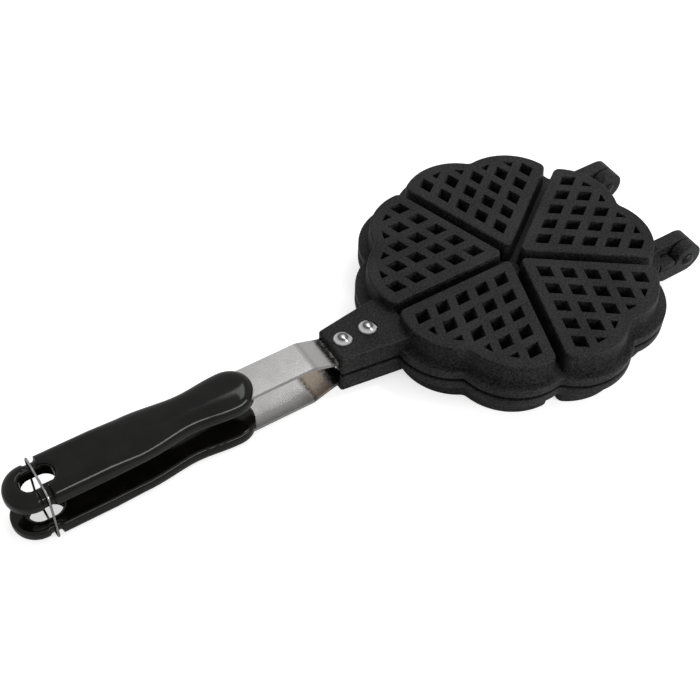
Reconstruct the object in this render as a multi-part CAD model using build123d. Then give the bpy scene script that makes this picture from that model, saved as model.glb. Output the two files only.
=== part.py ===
from build123d import *

"""Stovetop waffle iron: two identical cast plates of five hearts, hinged at the back, on long twin handles.

Modelled with the middle of the flower at x = y = 0 and the closed plates meeting at z = 0: the hinge lies
towards +X, the handles towards -X. The upper half is modelled and turned over about X for the lower half.
On export everything is moved so that the origin is midway along the iron, on the surface it stands on.
"""

import os
from math import cos, radians, sin, sqrt

# ---- plates, in mm and degrees
HEARTS = 5
PLATE_HALF_HEIGHT = 17.6  # from where the plates meet to the top of the hearts
LOBE_CENTRE = 45.8  # from the middle of the flower to the centre of a lobe's arc
LOBE_R = 30.4
GROOVE_W = 5.4  # between two hearts, at their tops
HEART_DRAFT = 5.0
HEART_CORNER_R = 4.0
HEART_POINT_R = 2.6
HEART_NOTCH_R = 4.5
HEART_EDGE_R = 0.9
CEILING_WALL = 4.2
SIDE_WALL = 2.7
RIDGE_SET_BACK = 2.0  # the ridges between the hearts stop this far from where the plates meet
RIDGE_RIM = 0.9  # left of a lobe's radius round the space over those ridges
FLANGE_TOP = 5.8
FLANGE_SET_BACK = 1.1  # outside the rim the flanges stand this far back from where the plates meet
FLANGE_OUT = 4.6  # a flange lobe's centre lies this much further out than the heart lobe's
FLANGE_EXTRA_R = 1.4
FLANGE_NOTCH_R = 3.0
FLANGE_EDGE_R = 0.9
FLANGE_LOWER_BEVEL = 0.5
RIM_SET_IN = 3.2  # from the flange's outline to the rim that meets the other plate
PARTING_GAP = 0.3  # between the two rims when shut
OVERLAP = 1.0  # how far a form runs into the one that it is joined to
# ---- lattice of pockets, each the back of a stud inside
PITCH = 12.0
FIRST_POCKET = 20.1  # from the middle of the flower
LAST_ROW = 4
POCKET_SIDE = 7.2
POCKET_DEPTH = 9.6
POCKET_DRAFT = 7.0
STUD_WALL = 1.6  # metal round a pocket, at the top of the heart
STUD_FLOOR = 3.4  # metal under a pocket
STUD_DRAFT = 5.0
EDGE_POCKET_RIM = 6.0  # flat left between the heart's outline and the pockets that it cuts
EDGE_POCKET_DEPTH = 5.0
# ---- hinge
HINGE_OUT = 7.4  # from the flange's furthest reach to the pins
HINGE_Y = 32.4  # middle of each pair of ears
EAR_W = 7.2
EAR_GAP = 0.4
EAR_R = 8.8
EAR_ARM = 25.6  # from the pin to the root
EAR_CREST = 15.6  # from the pin to where the arm starts to slope down
EAR_BEVEL = 0.5
PIN_D = 5.0
PIN_HEAD_D = 7.2
PIN_HEAD_H = 1.6
PIN_TAIL_D = 6.4
PIN_TAIL_H = 1.0
PIN_SEAT_GAP = 0.1
RUNNING_CLEARANCE = 0.05
# ---- lug that takes the strap; x here is measured outwards from the flange's furthest reach
LUG_L = 28.2
LUG_ROOT_IN = 12.2
LUG_END_HALF_W = 11.0
LUG_ROOT_HALF_W = 16.4
LUG_TOP = 12.2
LUG_EDGE_R = 1.6
LUG_ROOF = 3.4
SOCKET_L = 29.4
# ---- strap; places along the handle are measured behind the end of the lug
STRAP_W = 18.0
STRAP_T = 2.0
STRAP_SIDE_CLEARANCE = 0.1
STRAP_END_CLEARANCE = 0.5
JOGGLE = 4.6
JOGGLE_FROM = 2.1
JOGGLE_TO = 14.6
JOGGLE_R = 6.0
TANG_W = 14.0
TANG_FROM = 52.6
TANG_END = 135.6
TANG_CORNER_R = 3.0
TANG_HOLE_D = 6.0
TANG_HOLES = (67.6, 115.6)
# ---- rivets, placed from the end of the lug
RIVETS = (21.9, 7.4)
RIVET_D = 5.0
RIVET_HEAD_D = 9.8
RIVET_HEAD_H = 2.3
RIVET_TAIL_D = 8.4
RIVET_TAIL_H = 1.8
HEAD_RIM = 0.35  # upright edge under each domed head
# ---- grips
GRIP_FRONT = 43.8
BULB_R = 12.2
WAIST = 78.1
WAIST_HALF_W = 10.2
SHANK_FROM = 106.6
GRIP_HALF_W = 12.8
GRIP_UNDER = 5.0  # below the middle of the tang
GRIP_OVER = 5.1  # above the middle of the tang
GRIP_OUTER_EDGE_R = 5.0
GRIP_INNER_EDGE_R = 1.4
BOW_BACK = 4.2  # from the ring's place to the centre of the rounded end
BOW_SIDE_STEP = 0.6  # the rounded end is smaller than the shank, so that the ring slips over it
BOW_TOP_STEP = 1.4
HOLE_L = 16.4
HOLE_W = 11.6
HOLE_RIM_R = 1.8
# ---- lock ring
RING = 151.6
RING_WIRE_D = 1.1
RING_CLEARANCE = 0.3
RING_CORNER_R = 4.0
RING_SEAT_W = 6.0
RING_SEAT_STEP = 0.6  # the seat is this much below the rounded end beside it
# ---- sizes that follow
SECTOR = 360 / HEARTS
CEILING = PLATE_HALF_HEIGHT - CEILING_WALL
FLANGE_CENTRE = LOBE_CENTRE + FLANGE_OUT
FLANGE_R = LOBE_R + FLANGE_EXTRA_R
REACH = FLANGE_CENTRE + FLANGE_R
HINGE_X = REACH + HINGE_OUT
LUG_END_X = -(REACH + LUG_L)
LUG_ROOT_X = LUG_ROOT_IN - REACH
SOCKET_END_X = LUG_END_X + SOCKET_L
STRAP_TOP = LUG_TOP - LUG_ROOF
STRAP_LEVEL = STRAP_TOP - STRAP_T / 2
TANG_LEVEL = STRAP_LEVEL + JOGGLE
GRIP_INNER = TANG_LEVEL - GRIP_UNDER
GRIP_OUTER = TANG_LEVEL + GRIP_OVER
BOW_OUTER = GRIP_OUTER - BOW_TOP_STEP
BOW_R = GRIP_HALF_W - BOW_SIDE_STEP
RING_X = LUG_END_X - RING
BOW_X = RING_X - BOW_BACK
FAR = 500.0  # longer than the iron, for cutting blocks


def polar(radius, degrees):
    """A point at a distance and direction from the middle of the flower."""
    return (radius * cos(radians(degrees)), radius * sin(radians(degrees)))


def slab(outline, low, high):
    """Upright slab of an outline between two heights."""
    return extrude(Pos(0, 0, low) * outline, high - low, dir=(0, 0, 1))


def drafted(outline, top, depth, angle):
    """Slab that goes down from a height, its walls leaning outwards by the angle (inwards if negative)."""
    walls = slab(outline, top - depth, top).faces().sort_by(Axis.Z)[1:-1]
    return draft(walls, Plane.XY.offset(top), angle)


def lobes(centre, radius):
    """Flower outline of two lobes to a heart, filled to the middle."""
    flower = Circle(centre)
    for k in range(2 * HEARTS):
        flower += Pos(*polar(centre, SECTOR / 2 * (k + 0.5))) * Circle(radius)
    return flower


def heart():
    """Top outline of the heart that points at the middle of the flower along +X."""
    half = SECTOR / 2
    tip = GROOVE_W / 2 / sin(radians(half))
    far = polar(2 * LOBE_CENTRE, half)
    wedge = Pos(tip, 0) * Polygon((0, 0), (far[0], -far[1]), far, align=None)
    face = wedge & lobes(LOBE_CENTRE, LOBE_R)
    corners = face.vertices().sort_by(Axis.X)
    notch = min(corners[1:], key=lambda corner: abs(corner.Y))
    face = fillet([corner for corner in corners[1:] if corner is not notch], HEART_CORNER_R)
    face = fillet(face.vertices().sort_by(Axis.X)[0], HEART_POINT_R)
    notch = min(face.vertices().sort_by(Axis.X)[2:], key=lambda corner: abs(corner.Y))
    return fillet(notch, HEART_NOTCH_R)


def lattice_places():
    """Centres of one heart's lattice: the whole pockets, then the ones that the outline cuts."""
    whole = []
    cut = []
    for row in range(LAST_ROW + 2):
        for i in range(row + 1):
            near = polar(PITCH * i, -SECTOR / 2)
            far = polar(PITCH * (row - i), SECTOR / 2)
            place = (FIRST_POCKET + near[0] + far[0], near[1] + far[1])
            if row <= LAST_ROW:
                whole.append(place)
            elif 0 < i < row:
                cut.append(place)
    return whole, cut


def diamond(side, place):
    """Rhombus with its sides along the grooves on either side of the heart."""
    x, y = place
    long, wide = polar(side, SECTOR / 2)
    return Polygon((x - long, y), (x, y - wide), (x + long, y), (x, y + wide), align=None)


def heart_lattice(outline):
    """Pockets to cut from the top of one heart, and the studs round them to add inside it."""
    pockets = []
    studs = []
    whole, cut = lattice_places()
    stud_side = POCKET_SIDE + 2 * STUD_WALL / sin(radians(SECTOR))
    stud_top = CEILING + OVERLAP
    pocket_bound = offset(outline, -EDGE_POCKET_RIM)
    stud_bound = offset(outline, -SIDE_WALL / 2)
    for place in whole + cut:
        pocket = diamond(POCKET_SIDE, place)
        stud = diamond(stud_side, place)
        depth = POCKET_DEPTH
        if place in cut:
            pocket = pocket & pocket_bound
            stud = stud & stud_bound
            depth = EDGE_POCKET_DEPTH
        pockets.append(drafted(pocket, PLATE_HALF_HEIGHT, depth, -POCKET_DRAFT))
        stud_end = PLATE_HALF_HEIGHT - depth - STUD_FLOOR
        studs.append(drafted(stud, stud_top, stud_top - stud_end, -STUD_DRAFT))
    return pockets, studs


def heart_block(outline):
    """One heart, solid: widest at the flange, with a rounded top edge."""
    depth = PLATE_HALF_HEIGHT - FLANGE_TOP + OVERLAP
    block = drafted(outline, PLATE_HALF_HEIGHT, depth, HEART_DRAFT)
    return fillet(block.faces().sort_by(Axis.Z)[-1].edges(), HEART_EDGE_R)


def flange():
    """Flange round the whole flower, with the raised rim that meets the other plate."""
    outline = lobes(FLANGE_CENTRE, FLANGE_R)
    outline = fillet(outline.vertices(), FLANGE_NOTCH_R)
    plate = slab(outline, FLANGE_SET_BACK, FLANGE_TOP)
    plate = fillet(plate.faces().sort_by(Axis.Z)[-1].edges(), FLANGE_EDGE_R)
    plate = chamfer(plate.faces().sort_by(Axis.Z)[0].edges(), FLANGE_LOWER_BEVEL)
    return plate + slab(offset(outline, -RIM_SET_IN), PARTING_GAP / 2, FLANGE_TOP - OVERLAP)


def ears():
    """One ear to each pair; the other plate, turned over, brings its ears beside these."""
    level = PARTING_GAP / 2
    root_x = HINGE_X - EAR_ARM
    crest_x = HINGE_X - EAR_CREST
    slope_foot = (root_x, FLANGE_TOP - OVERLAP)
    arm = Polygon((root_x, level), (HINGE_X, level), (HINGE_X, EAR_R), (crest_x, EAR_R), slope_foot, align=None)
    profile = Plane.XZ * (arm + Pos(HINGE_X, 0) * Circle(EAR_R))
    both = []
    for middle in (HINGE_Y, -HINGE_Y):
        ear = Pos(0, middle + EAR_GAP / 2, 0) * extrude(profile, EAR_W, dir=(0, 1, 0))
        both.append(chamfer(ear.faces().filter_by(Axis.Y).edges(), EAR_BEVEL))
    return both


def lug():
    """Block that takes the strap: wide at the flange, narrow at its end."""
    end = (LUG_END_X, LUG_END_HALF_W)
    root = (LUG_ROOT_X, LUG_ROOT_HALF_W)
    plan = Polygon((end[0], -end[1]), (root[0], -root[1]), root, end, align=None)
    block = slab(plan, FLANGE_SET_BACK, LUG_TOP)
    uprights = block.edges().filter_by(Axis.Z).sort_by(Axis.X)[:2]
    return fillet(block.faces().sort_by(Axis.Z)[-1].edges() + uprights, LUG_EDGE_R)


def strap_socket():
    """Channel along the lug, open below and at its end."""
    width = STRAP_W + 2 * STRAP_SIDE_CLEARANCE
    block = Box(FAR, width, STRAP_TOP, align=(Align.MAX, Align.CENTER, Align.MIN))
    return Pos(SOCKET_END_X, 0, 0) * block


def rivet_holes():
    """Cutters through lug and strap for both rivets."""
    radius = RIVET_D / 2 + RUNNING_CLEARANCE
    return [Pos(LUG_END_X + place, 0, 0) * Cylinder(radius, 4 * LUG_TOP) for place in RIVETS]


def plate():
    """Whole casting, upper way up."""
    outline = heart()
    turns = [Rot(0, 0, SECTOR * k) for k in range(HEARTS)]
    block = heart_block(outline)
    hollow = drafted(offset(outline, -SIDE_WALL), CEILING, CEILING, HEART_DRAFT)
    pockets, studs = heart_lattice(outline)
    body = flange() + ears() + lug() + [turn * block for turn in turns]
    body -= [turn * hollow for turn in turns]
    body -= slab(lobes(LOBE_CENTRE, LOBE_R - RIDGE_RIM), -OVERLAP, RIDGE_SET_BACK)
    body += [turn * stud for turn in turns for stud in studs]
    body -= [turn * pocket for turn in turns for pocket in pockets]
    body -= [strap_socket()] + rivet_holes()
    bore = Rot(90, 0, 0) * Cylinder(PIN_D / 2 + RUNNING_CLEARANCE, 4 * HINGE_Y)
    return body - Pos(HINGE_X, 0, 0) * bore


def strap():
    """Flat strip, joggled outwards behind the lug, with a narrower tang for the grip."""
    tang_x = LUG_END_X - TANG_FROM
    path = FilletPolyline(
        (SOCKET_END_X - STRAP_END_CLEARANCE, 0, STRAP_LEVEL),
        (LUG_END_X - JOGGLE_FROM, 0, STRAP_LEVEL),
        (LUG_END_X - JOGGLE_TO, 0, TANG_LEVEL),
        (tang_x, 0, TANG_LEVEL),
        radius=JOGGLE_R,
    )
    start = Plane(origin=path @ 0, x_dir=(0, 1, 0), z_dir=path % 0)
    strip = sweep(start * Rectangle(STRAP_W, STRAP_T), path=path)
    tang = Box(TANG_END - TANG_FROM, TANG_W, STRAP_T, align=(Align.MAX, Align.CENTER, Align.CENTER))
    tang = fillet(tang.edges().filter_by(Axis.Z).sort_by(Axis.X)[:2], TANG_CORNER_R)
    strip += Pos(tang_x, 0, TANG_LEVEL) * tang
    for place in TANG_HOLES:
        strip -= Pos(LUG_END_X - place, 0, 0) * Cylinder(TANG_HOLE_D / 2, 4 * TANG_LEVEL)
    return strip - rivet_holes()


def crown(diameter, height):
    """Spherical top of a head as a half section, from its rim to the axis."""
    radius = diameter / 2
    rise = height - HEAD_RIM
    ball = (radius**2 + rise**2) / (2 * rise)
    middle = (radius / 2, height - ball + sqrt(ball**2 - radius**2 / 4))
    return ThreePointArc((radius, HEAD_RIM), middle, (0, height))


def headed_pin(shank_d, length, head, tail):
    """Shank from z = 0 up to its length, with a domed head above it and a closed tail below."""
    head_d, head_h = head
    tail_d, tail_h = tail
    sides = Polyline(
        (head_d / 2, length + HEAD_RIM),
        (head_d / 2, length),
        (shank_d / 2, length),
        (shank_d / 2, 0),
        (tail_d / 2, 0),
        (tail_d / 2, -HEAD_RIM),
    )
    top = Pos(0, length) * crown(head_d, head_h)
    bottom = mirror(crown(tail_d, tail_h), Plane.XZ)
    axis = Line((0, -tail_h), (0, length + head_h))
    return revolve(Plane.XZ * make_face(top + sides + bottom + axis), Axis.Z)


def rivet(place):
    """Rivet through lug and strap, headed on the lug's top and closed under the strap."""
    grip_length = LUG_ROOF + STRAP_T
    pin = headed_pin(RIVET_D, grip_length, (RIVET_HEAD_D, RIVET_HEAD_H), (RIVET_TAIL_D, RIVET_TAIL_H))
    return Pos(LUG_END_X + place, 0, STRAP_TOP - STRAP_T) * pin


def hinge_pin(side):
    """Pin through one pair of ears, with its head on the outside."""
    length = 2 * EAR_W + EAR_GAP + 2 * PIN_SEAT_GAP
    pin = headed_pin(PIN_D, length, (PIN_HEAD_D, PIN_HEAD_H), (PIN_TAIL_D, PIN_TAIL_H))
    centred = Rot(-90 * side, 0, 0) * Pos(0, 0, -length / 2) * pin
    return Pos(HINGE_X, side * HINGE_Y, 0) * centred


def grip_outline():
    """Bulb at the front, a waist for the finger, then a straight shank."""
    bulb_x = LUG_END_X - GRIP_FRONT - BULB_R
    waist_x = LUG_END_X - WAIST
    shank_x = LUG_END_X - SHANK_FROM
    end_x = RING_X - RING_SEAT_W
    back = (-1, 0)
    nose = RadiusArc((bulb_x, -BULB_R), (bulb_x, BULB_R), -BULB_R)
    curve = ((bulb_x, BULB_R), (waist_x, WAIST_HALF_W), (shank_x, GRIP_HALF_W))
    side = Spline(*curve, tangents=(back, back)) + Line((shank_x, GRIP_HALF_W), (end_x, GRIP_HALF_W))
    end = Line((end_x, GRIP_HALF_W), (end_x, -GRIP_HALF_W))
    return make_face(nose + side + mirror(side, Plane.XZ) + end)


def moulded(outline, outer):
    """Slab of grip with a flat inner face and a well rounded outer one."""
    body = slab(outline, GRIP_INNER, outer)
    body = fillet(body.faces().sort_by(Axis.Z)[-1].edges(), GRIP_OUTER_EDGE_R)
    return fillet(body.faces().sort_by(Axis.Z)[0].edges(), GRIP_INNER_EDGE_R)


def between(low_x, high_x):
    """Block that keeps what lies between two stations along the handle."""
    block = Box(high_x - low_x, FAR, FAR, align=(Align.MIN, Align.CENTER, Align.CENTER))
    return Pos(low_x, 0, 0) * block


def hanging_hole(outer):
    """Cutter for the oval hole, flared so that it leaves a rounded rim at both faces."""
    slot = SlotOverall(HOLE_L, HOLE_W)
    mouth = offset(slot, HOLE_RIM_R + OVERLAP)
    cutter = slab(slot, GRIP_INNER, outer)
    cutter += slab(mouth, outer, outer + HOLE_RIM_R + OVERLAP)
    cutter += slab(mouth, GRIP_INNER - HOLE_RIM_R - OVERLAP, GRIP_INNER)
    flats = cutter.faces().filter_by(Axis.Z)
    throats = [edge for flat in flats for wire in flat.inner_wires() for edge in wire.edges()]
    return Pos(RING_X, 0, 0) * fillet(throats, HOLE_RIM_R)


def grip():
    """Shank, ring seat and rounded end, moulded in one round the strap's tang."""
    seat_front = RING_X + RING_SEAT_W / 2
    seat_back = RING_X - RING_SEAT_W / 2
    seat_width = 2 * (BOW_R - RING_SEAT_STEP)
    shank = moulded(grip_outline(), GRIP_OUTER) & between(seat_front, 0)
    seat = moulded(Pos(RING_X, 0) * Rectangle(4 * seat_width, seat_width), BOW_OUTER - RING_SEAT_STEP)
    straight = Rectangle(4 * BOW_R, 2 * BOW_R, align=(Align.MIN, Align.CENTER))
    bow = moulded(Pos(BOW_X, 0) * (Circle(BOW_R) + straight), BOW_OUTER)
    end = (seat & between(seat_back, seat_front)) + (bow & between(-FAR, seat_back))
    body = (shank - hanging_hole(GRIP_OUTER)) + (end - hanging_hole(BOW_OUTER))
    return body - strap()


def lock_ring():
    """Closed wire ring that just clears the rounded ends of both grips."""
    wire_r = RING_WIRE_D / 2
    half_w = BOW_R + RING_CLEARANCE + wire_r
    half_h = BOW_OUTER + RING_CLEARANCE + wire_r
    path = (Plane.YZ * RectangleRounded(2 * half_w, 2 * half_h, RING_CORNER_R)).wire()
    start = Plane(origin=path @ 0, z_dir=path % 0)
    return Pos(RING_X, 0, 0) * sweep(start * Circle(wire_r), path=path)


def build():
    """Every piece by name, moved to stand on the origin's plane."""
    over = Rot(180, 0, 0)
    halves = {"plate": plate(), "strap": strap(), "grip": grip()}
    for name, place in zip(("front_rivet", "rear_rivet"), RIVETS):
        halves[name] = rivet(place)
    pieces = {"upper_" + name: piece for name, piece in halves.items()}
    pieces.update({"lower_" + name: over * piece for name, piece in halves.items()})
    pieces["left_hinge_pin"] = hinge_pin(1)
    pieces["right_hinge_pin"] = hinge_pin(-1)
    pieces["lock_ring"] = lock_ring()
    middle_x = (HINGE_X + EAR_R + BOW_X - BOW_R) / 2
    stand = Pos(-middle_x, 0, PLATE_HALF_HEIGHT)
    return {name: stand * piece for name, piece in pieces.items()}


os.makedirs("parts", exist_ok=True)
for name, piece in build().items():
    export_step(piece, "parts/" + name + ".step")
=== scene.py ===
import math

import bmesh
import bpy
from mathutils import Matrix, Vector

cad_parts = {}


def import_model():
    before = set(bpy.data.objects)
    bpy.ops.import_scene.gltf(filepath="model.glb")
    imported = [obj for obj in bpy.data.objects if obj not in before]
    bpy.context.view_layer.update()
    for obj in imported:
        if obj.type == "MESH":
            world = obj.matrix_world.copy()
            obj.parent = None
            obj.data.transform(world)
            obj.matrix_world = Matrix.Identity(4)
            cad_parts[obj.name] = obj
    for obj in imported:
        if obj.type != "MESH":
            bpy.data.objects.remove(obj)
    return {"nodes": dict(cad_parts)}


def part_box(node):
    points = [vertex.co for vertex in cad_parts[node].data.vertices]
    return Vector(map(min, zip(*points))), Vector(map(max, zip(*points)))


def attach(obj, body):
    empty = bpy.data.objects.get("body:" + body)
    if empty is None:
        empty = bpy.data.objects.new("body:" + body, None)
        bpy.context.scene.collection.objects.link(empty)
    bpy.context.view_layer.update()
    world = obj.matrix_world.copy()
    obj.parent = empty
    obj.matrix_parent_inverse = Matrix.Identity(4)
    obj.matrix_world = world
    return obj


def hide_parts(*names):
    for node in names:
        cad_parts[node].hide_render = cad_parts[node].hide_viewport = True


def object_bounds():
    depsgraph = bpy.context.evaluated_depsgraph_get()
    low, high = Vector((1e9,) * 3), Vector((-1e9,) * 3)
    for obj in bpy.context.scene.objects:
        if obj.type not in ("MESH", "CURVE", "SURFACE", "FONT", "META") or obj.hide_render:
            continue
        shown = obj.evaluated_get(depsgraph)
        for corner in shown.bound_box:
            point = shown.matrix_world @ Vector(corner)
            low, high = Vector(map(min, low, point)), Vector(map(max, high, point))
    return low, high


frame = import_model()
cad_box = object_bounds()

# ---- the view, in metres and degrees
AZIMUTH = -34.2008
ELEVATION = 49.7236
ROLL = 2.0518
DISTANCE = 0.59714
LENS = 64.37  # mm
SENSOR_W = 36.0  # mm
AIM = (-0.0163, -0.01138, 0.0352)
# ---- light
FILL = 0.46  # what the world gives to matt surfaces; the camera and reflections see a white one
FLOOR_COLOUR = (0.8, 0.8, 0.8)
FLOOR_LIFT = 0.6  # light of its own that the floor shows to the camera
FLOOR_HALF = 3.0
SOFTBOXES = (
    # name, azimuth and elevation seen from the iron, distance, width, height, power
    ("overhead_softbox", 100.0, 67.0, 1.6, 1.4, 0.3, 8.5),
    ("front_softbox", 24.0, 21.0, 1.6, 1.3, 0.36, 19.0),
)
MM = 0.001
MEETING_Z = cad_box[1][2] / 2  # the halves meet midway up the iron, which rests on z 0
# ---- places that finishes follow
LUG_END = -20.4 * MM
STRAP_SLOPE = 14.6 * MM  # from the lug to the strap's outer bend
RIVET_HEAD_R = 4.9 * MM
# ---- size and height of each finish's grain
CASTING_GRAIN = 1.1 * MM
CASTING_CLOUD = 22 * MM
CASTING_RELIEF = 0.35 * MM
CASTING_EDGE_R = 0.7 * MM  # how far its edges look worn round
CASTING_EDGE_SAMPLES = 6
DRAWN_LINE = 0.25 * MM
DRAWN_OUT = (0.02, 1.0, 1.0)  # the lines run along the strap
DRAWN_RELIEF = 0.006 * MM
STRAP_CLOUD = 9 * MM
STRAP_MOTTLE = 1.3 * MM
RIVET_CLOUD = 0.9 * MM
PIN_CLOUD = 1.5 * MM
WIRE_CLOUD = 2.0 * MM
GRIP_WAVE = 9 * MM
GRIP_WAVE_RELIEF = 0.12 * MM
GRIP_FINE = 1.2 * MM
GRIP_FINE_RELIEF = 0.01 * MM
# ---- colours of a strap's slope beside the lug and of the bend at its far end: painted reflections
# the lower strap: a tan painted reflection on the slope, and a dark one at the bend
LOWER_SLOPE_REFLECTION = (0.27, 0.215, 0.165)
LOWER_BEND_REFLECTION = (0.08, 0.07, 0.06)
# the upper strap: a pale painted reflection on the slope, and a slightly darker one at the bend
UPPER_SLOPE_REFLECTION = (0.36, 0.352, 0.345)
UPPER_BEND_REFLECTION = (0.27, 0.264, 0.26)
# ---- webs between the hinge ears and the flange
PIN_X = 179.6 * MM
PAIR_Y = 32.4 * MM  # middle of each pair of ears
EAR_W = 7.2 * MM
EAR_GAP = 0.4 * MM
WEB_FROM = 160.2 * MM  # inside the flange
WEB_TO_PIN = 9.5 * MM  # clear of the other half's ear as it turns
WEB_LIFT = 0.4 * MM  # clear of the other half's arm
WEB_T = 3.2 * MM
WEB_EDGE_R = 0.8 * MM
WEB_EDGE_SEGMENTS = 3
# ---- grips, softened from the plain solids
WELD = 0.001 * MM  # corners nearer than this are one
GRIP_VOXEL = 0.55 * MM
GRIP_SMOOTHING = 40  # passes
GRIP_SMOOTHING_STEP = 0.5  # share of the way that a point goes in each
GRIP_CROWN = 1.5 * MM  # the outer face falls by this much towards its long sides
BOW_L = 46 * MM  # the holed end, from the grip's furthest reach, which stays crisp
BOW_BLEND = 14 * MM  # length over which the softening sets in


class Value:
    """A socket in a node tree; arithmetic on it adds Math nodes."""

    def __init__(self, paint, socket):
        self.paint = paint
        self.socket = socket

    def _math(self, operation, *values):
        return self.paint.node("ShaderNodeMath", {"operation": operation}, dict(enumerate(values)))

    def __add__(self, other):
        return self._math("ADD", self, other)

    __radd__ = __add__

    def __sub__(self, other):
        return self._math("SUBTRACT", self, other)

    def __rsub__(self, other):
        return self._math("SUBTRACT", other, self)

    def __mul__(self, other):
        return self._math("MULTIPLY", self, other)

    __rmul__ = __mul__


class Paint:
    """One material's nodes, round its Principled shader."""

    def __init__(self, name, **constants):
        self.material = bpy.data.materials.new(name)
        self.material.use_nodes = True
        self.tree = self.material.node_tree
        self.shader = self.tree.nodes["Principled BSDF"]
        for socket, value in constants.items():
            self.shader.inputs[socket.replace("_", " ")].default_value = value
        self.place = self.node("ShaderNodeTexCoord", output="Object")

    def node(self, kind, settings=None, inputs=None, output=0):
        """Adds a node, sets it and its sockets, and gives one of its outputs."""
        node = self.tree.nodes.new(kind)
        for name, value in (settings or {}).items():
            setattr(node, name, value)
        for name, value in (inputs or {}).items():
            if isinstance(value, Value):
                self.tree.links.new(value.socket, node.inputs[name])
            else:
                node.inputs[name].default_value = value
        return Value(self, node.outputs[output])

    def place_along(self, axis):
        """Distance from the origin along X, Y or Z, in metres."""
        return self.node("ShaderNodeSeparateXYZ", None, {"Vector": self.place}, output=axis)

    def mixed(self, share, colour, other):
        """From one colour to the other as the share goes from 0 to 1."""
        inputs = {"Factor": share, 6: colour, 7: other}
        return self.node("ShaderNodeMix", {"data_type": "RGBA"}, inputs, output=2)

    def feed(self, socket, value):
        """Leads a value to one of the shader's sockets."""
        self.tree.links.new(value.socket, self.shader.inputs[socket])

    def stretched(self, scale):
        """The place on the object, scaled along each axis."""
        return self.node("ShaderNodeMapping", None, {"Vector": self.place, "Scale": scale})

    def noise(self, size, detail=3.0, stretch=(1.0, 1.0, 1.0), roughness=0.5):
        """Noise with lumps of about that size, in metres."""
        scale = tuple(axis / size for axis in stretch)
        vector = self.stretched(scale)
        inputs = {"Vector": vector, "Scale": 1.0, "Detail": detail, "Roughness": roughness}
        return self.node("ShaderNodeTexNoise", None, inputs)

    def ramp(self, value, *stops):
        """Colour ramp through (position, colour) stops."""
        result = self.node("ShaderNodeValToRGB", None, {"Fac": value})
        ramp = result.socket.node.color_ramp
        while len(ramp.elements) < len(stops):
            ramp.elements.new(0.5)
        for element, (position, colour) in zip(ramp.elements, stops):
            element.position = position
            element.color = (*colour, 1.0)
        return result

    def bump(self, height, distance, strength=1.0, below=None):
        """Relief of that height in metres, over another one where it is given."""
        inputs = {"Height": height, "Distance": distance, "Strength": strength}
        if below is not None:
            inputs["Normal"] = below
        return self.node("ShaderNodeBump", None, inputs)


def grey(value):
    return (value, value, value)


def coated_casting():
    """Matt black coating over a cast surface: fine grain, slightly uneven."""
    paint = Paint("coated_casting", Roughness=0.5, Specular_IOR_Level=0.11)
    grain = paint.noise(CASTING_GRAIN, detail=2.0, roughness=0.75)
    cloud = paint.noise(CASTING_CLOUD)
    shade = grain + 0.3 * cloud
    paint.feed("Base Color", paint.ramp(shade, (0.52, grey(0.001)), (0.78, grey(0.024))))
    paint.feed("Roughness", 0.3 + 0.3 * grain)
    edges = paint.node("ShaderNodeBevel", {"samples": CASTING_EDGE_SAMPLES}, {"Radius": CASTING_EDGE_R})
    paint.feed("Normal", paint.bump(grain, CASTING_RELIEF, below=edges))
    return paint.material


def strap_steel(name, patch, bend):
    """Bright steel strip, faintly drawn along its length, with a painted shadow of the lug's roof where
    it leaves the lug.

    The patch is the painted reflection on its slope beside the lug, and the bend the painted reflection
    at the slope's far end.
    """
    paint = Paint(name, Metallic=1.0, Roughness=0.25)
    drawn = paint.noise(DRAWN_LINE, stretch=DRAWN_OUT)
    cloud = paint.noise(STRAP_CLOUD, detail=4.0)
    mottle = paint.noise(STRAP_MOTTLE, detail=3.0)
    plain_steel = paint.ramp(cloud, (0.3, (0.29, 0.283, 0.278)), (0.7, (0.34, 0.332, 0.326)))
    behind_lug = (LUG_END - paint.place_along(0)) * (1.0 / STRAP_SLOPE) + 0.16 * (mottle - 0.5)
    # painted shadow of the lug's roof just past the lug, then the painted reflections of the slope and
    # its bend
    slope = paint.ramp(
        behind_lug,
        (0.06, grey(0.02)),
        (0.24, grey(0.06)),
        (0.36, patch),
        (0.80, patch),
        (0.92, bend),
        (1.0, grey(0.33)),
    )
    past_slope = paint.ramp(behind_lug, (0.97, grey(0.0)), (1.0, grey(1.0)))
    speckled = paint.mixed(paint.ramp(mottle, (0.4, grey(0.0)), (0.65, grey(0.45))), slope, plain_steel)
    paint.feed("Base Color", paint.mixed(past_slope, speckled, plain_steel))
    paint.feed("Roughness", 0.2 + 0.1 * drawn + 0.03 * cloud)
    paint.feed("Normal", paint.bump(drawn, DRAWN_RELIEF))
    return paint.material


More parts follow.
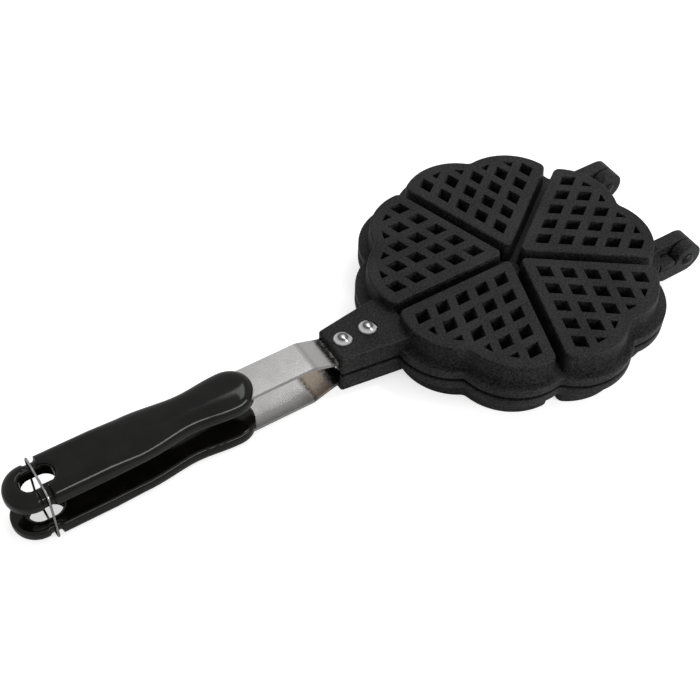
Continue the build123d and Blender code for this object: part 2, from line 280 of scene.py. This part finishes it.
def rivet_metal(name, node_name):
    """Bright domed head, banded light and dark about its axis as a painted reflection."""
    paint = Paint(name, Metallic=1.0, Roughness=0.2)
    low, high = (Vector(corner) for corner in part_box(node_name))
    centre = (low + high) / 2
    shift = {"Vector": paint.place, "Location": (-centre.x, -centre.y, 0.0), "Scale": (1.0, 1.0, 0.0)}
    from_axis = paint.node("ShaderNodeMapping", None, shift)
    radius = paint.node("ShaderNodeVectorMath", {"operation": "LENGTH"}, {0: from_axis}, output=1)
    cloud = paint.noise(RIVET_CLOUD)
    ringed = radius * (1.0 / RIVET_HEAD_R) + 0.14 * (cloud - 0.5)
    # painted reflection: a bright centre, dark and mid bands, and a dark rim
    painted_reflection_rings = paint.ramp(
        ringed,
        (0.10, grey(0.8)),
        (0.22, grey(0.2)),
        (0.44, grey(0.05)),
        (0.62, grey(0.36)),
        (0.84, grey(0.5)),
        (0.96, grey(0.06)),
    )
    paint.feed("Base Color", painted_reflection_rings)
    paint.feed("Roughness", 0.08 + 0.1 * cloud)
    return paint.material


def pin_metal():
    """Dark steel of the hinge pins."""
    paint = Paint("pin_metal", Metallic=1.0, Roughness=0.4)
    cloud = paint.noise(PIN_CLOUD)
    paint.feed("Base Color", paint.ramp(cloud, (0.3, grey(0.014)), (0.7, grey(0.026))))
    paint.feed("Roughness", 0.3 + 0.2 * cloud)
    return paint.material


def grip_plastic():
    """Glossy black moulding."""
    paint = Paint("grip_plastic", Roughness=0.12, Specular_IOR_Level=0.16)
    wave = paint.noise(GRIP_WAVE, detail=2.0)
    fine = paint.noise(GRIP_FINE, detail=2.0)
    black = paint.ramp(wave, (0.3, (0.002, 0.0018, 0.0016)), (0.7, (0.005, 0.0045, 0.004)))
    paint.feed("Base Color", black)
    paint.feed("Roughness", 0.08 + 0.06 * fine)
    lumps = paint.bump(wave, GRIP_WAVE_RELIEF, strength=0.5)
    paint.feed("Normal", paint.bump(fine, GRIP_FINE_RELIEF, below=lumps))
    return paint.material


def ring_wire():
    """Smooth wire of the lock ring."""
    paint = Paint("ring_wire", Metallic=1.0, Roughness=0.18)
    cloud = paint.noise(WIRE_CLOUD)
    paint.feed("Base Color", paint.ramp(cloud, (0.3, grey(0.18)), (0.7, grey(0.32))))
    paint.feed("Roughness", 0.14 + 0.1 * cloud)
    return paint.material


def added(name, data):
    """A new object in the scene, at the origin."""
    thing = bpy.data.objects.new(name, data)
    bpy.context.scene.collection.objects.link(thing)
    return thing


def coat(piece, finish):
    """Gives a piece its one material."""
    piece.data.materials.clear()
    piece.data.materials.append(finish)


def held(value):
    """The value, kept between 0 and 1."""
    return min(1.0, max(0.0, value))


def softening(vertex, grip_end):
    """Share of the softening that a grip's vertex takes: none at the holed end, all past the blend."""
    return held((vertex.co.x - grip_end - BOW_L) / BOW_BLEND)


def remeshed(node_name, piece_name, voxel):
    """An even-meshed copy of a node, as an object of its own."""
    mesh = frame["nodes"][node_name].data.copy()
    skin = bmesh.new()
    skin.from_mesh(mesh)
    bmesh.ops.remove_doubles(skin, verts=skin.verts, dist=WELD)
    skin.to_mesh(mesh)
    skin.free()
    piece = added(piece_name, mesh)
    remesh = piece.modifiers.new("even", "REMESH")
    remesh.mode = "VOXEL"
    remesh.voxel_size = voxel
    return piece


def apply_modifiers(piece):
    """Turns what the modifiers show into the piece's own mesh."""
    shown = piece.evaluated_get(bpy.context.evaluated_depsgraph_get())
    piece.data = bpy.data.meshes.new_from_object(shown)
    piece.modifiers.clear()


def soft_grip(node_name, piece_name, body):
    """Grip with full shoulders and a crowned outer face, its holed end kept crisp."""
    low, high = (Vector(corner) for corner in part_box(node_name))
    outward = 1 if low.z > MEETING_Z else -1
    middle_z = (low.z + high.z) / 2
    piece = remeshed(node_name, piece_name, GRIP_VOXEL)
    apply_modifiers(piece)
    softened = piece.vertex_groups.new(name="softened")
    for vertex in piece.data.vertices:
        softened.add([vertex.index], softening(vertex, low.x), "REPLACE")
    smooth = piece.modifiers.new("soften", "SMOOTH")
    smooth.factor = GRIP_SMOOTHING_STEP
    smooth.iterations = GRIP_SMOOTHING
    smooth.vertex_group = softened.name
    apply_modifiers(piece)
    half_w = (high.y - low.y) / 2
    for vertex in piece.data.vertices:
        share = softening(vertex, low.x)
        above = held(outward * (vertex.co.z - middle_z) / (high.z - middle_z))
        vertex.co.z -= outward * GRIP_CROWN * share * above * (vertex.co.y / half_w) ** 2
    piece.data.shade_smooth()
    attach(piece, body)
    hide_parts(node_name)
    return piece


def hinge_web(name, side, outward, body, finish):
    """Web over the other half's ear, from the flange nearly to its boss."""
    inner = outward * side * PAIR_Y - EAR_GAP / 2
    x = (WEB_FROM, PIN_X - WEB_TO_PIN)
    y = sorted((outward * inner, outward * (inner - EAR_W)))
    z = sorted((MEETING_Z + outward * WEB_LIFT, MEETING_Z + outward * (WEB_LIFT + WEB_T)))
    size = [high - low for low, high in (x, y, z)]
    centre = [(low + high) / 2 for low, high in (x, y, z)]
    form = bmesh.new()
    bmesh.ops.create_cube(form, size=1.0)
    bmesh.ops.scale(form, vec=size, verts=form.verts)
    bmesh.ops.translate(form, vec=centre, verts=form.verts)
    bmesh.ops.bevel(
        form,
        geom=form.edges[:],
        offset=WEB_EDGE_R,
        segments=WEB_EDGE_SEGMENTS,
        profile=0.5,
        affect="EDGES",
        material=-1,
    )
    mesh = bpy.data.meshes.new(name)
    form.to_mesh(mesh)
    form.free()
    mesh.shade_smooth()
    web = added(name, mesh)
    coat(web, finish)
    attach(web, body)


def finish_nodes():
    """Gives every node its material, and each half its softened grip and its webs."""
    casting = coated_casting()
    plastic = grip_plastic()
    pin = pin_metal()
    made = {
        "upper_plate": casting,
        "lower_plate": casting,
        # each strap's slope carries painted reflections, and a painted shadow where it leaves the lug
        "upper_strap": strap_steel("strap_steel", UPPER_SLOPE_REFLECTION, UPPER_BEND_REFLECTION),
        "lower_strap": strap_steel("lower_strap_steel", LOWER_SLOPE_REFLECTION, LOWER_BEND_REFLECTION),
        "upper_grip": plastic,
        "lower_grip": plastic,
        "left_hinge_pin": pin,
        "right_hinge_pin": pin,
        "lock_ring": ring_wire(),
    }
    for place in ("front", "rear"):
        finish = rivet_metal(place + "_rivet_metal", "upper_" + place + "_rivet")
        made["upper_" + place + "_rivet"] = finish
        made["lower_" + place + "_rivet"] = finish
    for name, finish in made.items():
        coat(frame["nodes"][name], finish)
    for half in ("upper", "lower"):
        grip = soft_grip(half + "_grip", half + "_soft_grip", half + "_half")
        coat(grip, plastic)
    for half, outward in (("upper", 1), ("lower", -1)):
        for place, side in (("left", 1), ("right", -1)):
            hinge_web(f"{half}_{place}_hinge_web", side, outward, half + "_half", casting)


def direction(azimuth, elevation):
    """Unit vector from the iron towards a camera or lamp that looks at it from there."""
    a = math.radians(azimuth)
    e = math.radians(elevation)
    return Vector((math.sin(a) * math.cos(e), -math.cos(a) * math.cos(e), math.sin(e)))


def camera():
    """Camera that looks at AIM, turned a little about its own line of sight."""
    back = direction(AZIMUTH, ELEVATION)
    azimuth = math.radians(AZIMUTH)
    right = Vector((math.cos(azimuth), math.sin(azimuth), 0.0))
    upright = Matrix((right, back.cross(right), back)).transposed()
    turn = upright @ Matrix.Rotation(math.radians(ROLL), 3, "Z")
    data = bpy.data.cameras.new("camera")
    data.lens = LENS
    data.sensor_width = SENSOR_W
    shot = added("camera", data)
    shot.matrix_world = Matrix.LocRotScale(Vector(AIM) + back * DISTANCE, turn, None)
    bpy.context.scene.camera = shot


def softbox(name, azimuth, elevation, distance, width, height, power):
    """Rectangular lamp that faces the iron from that side."""
    data = bpy.data.lights.new(name, "AREA")
    data.shape = "RECTANGLE"
    data.size = width
    data.size_y = height
    data.energy = power
    lamp = added(name, data)
    away = direction(azimuth, elevation)
    lamp.location = away * distance
    lamp.rotation_euler = away.to_track_quat("Z", "Y").to_euler()


def world():
    """White to the camera and in reflections, dimmer to matt surfaces."""
    scene = bpy.context.scene
    scene.world = bpy.data.worlds.new("studio")
    scene.world.use_nodes = True
    tree = scene.world.node_tree
    light = tree.nodes.new("ShaderNodeLightPath")
    seen = light.outputs["Is Camera Ray"]
    for other in ("Is Glossy Ray", "Is Transmission Ray"):
        either = tree.nodes.new("ShaderNodeMath")
        either.operation = "MAXIMUM"
        tree.links.new(seen, either.inputs[0])
        tree.links.new(light.outputs[other], either.inputs[1])
        seen = either.outputs[0]
    level = tree.nodes.new("ShaderNodeMapRange")
    tree.links.new(seen, level.inputs["Value"])
    level.inputs["To Min"].default_value = FILL
    level.inputs["To Max"].default_value = 1.0
    background = tree.nodes["Background"]
    background.inputs["Color"].default_value = (1, 1, 1, 1)
    tree.links.new(level.outputs["Result"], background.inputs["Strength"])


def floor():
    """Pale floor that takes the iron's shadow and meets the white background."""
    mesh = bpy.data.meshes.new("floor")
    corners = [(x * FLOOR_HALF, y * FLOOR_HALF, 0.0) for x, y in ((-1, -1), (1, -1), (1, 1), (-1, 1))]
    mesh.from_pydata(corners, [], [(0, 1, 2, 3)])
    sheet = added("floor", mesh)
    material = bpy.data.materials.new("floor")
    material.use_nodes = True
    tree = material.node_tree
    shader = tree.nodes["Principled BSDF"]
    shader.inputs["Base Color"].default_value = (*FLOOR_COLOUR, 1.0)
    shader.inputs["Roughness"].default_value = 1.0
    shader.inputs["Specular IOR Level"].default_value = 0.0
    shader.inputs["Emission Color"].default_value = (1, 1, 1, 1)
    path = tree.nodes.new("ShaderNodeLightPath")
    lift = tree.nodes.new("ShaderNodeMath")
    lift.operation = "MULTIPLY"
    lift.inputs[1].default_value = FLOOR_LIFT
    tree.links.new(path.outputs["Is Camera Ray"], lift.inputs[0])
    tree.links.new(lift.outputs[0], shader.inputs["Emission Strength"])
    mesh.materials.append(material)


finish_nodes()
camera()
world()
floor()
for box in SOFTBOXES:
    softbox(*box)
bpy.context.scene.view_settings.view_transform = "Standard"
